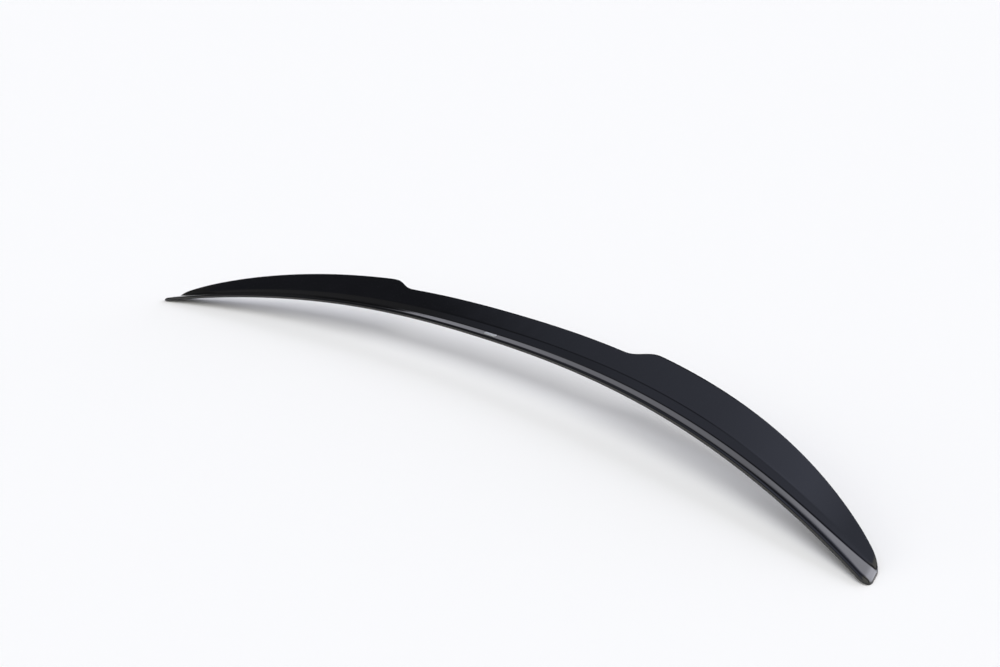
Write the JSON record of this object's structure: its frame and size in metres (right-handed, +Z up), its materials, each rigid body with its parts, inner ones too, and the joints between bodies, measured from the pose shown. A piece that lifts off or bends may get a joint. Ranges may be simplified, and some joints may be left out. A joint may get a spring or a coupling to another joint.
{
  "type": "spoiler extension",
  "caption": "Gloss black moulded lip spoiler for a trunk lid's rear edge: bowed and crowned, with a recessed middle, tapered ends and a hollow underside, held on by foam tape.",
  "frame": {"origin": "middle of the front tape's bonding face, on the plane of symmetry", "axes": "+X to the car's left along the span, +Y to the car's rear, +Z up"},
  "size_m": [1.193, 0.189, 0.0694],
  "materials": {
    "gloss_black_abs": "gloss black, moulded",
    "foam_tape": "dark grey closed-cell foam",
    "badge_resin": "clear domed resin over plain silver foil"
  },
  "bodies": {
    "root": {"spoiler_shell": "gloss_black_abs", "front_tape": "foam_tape", "rear_tape": "foam_tape", "blank_badge": "badge_resin"}
  },
  "joints": []
}
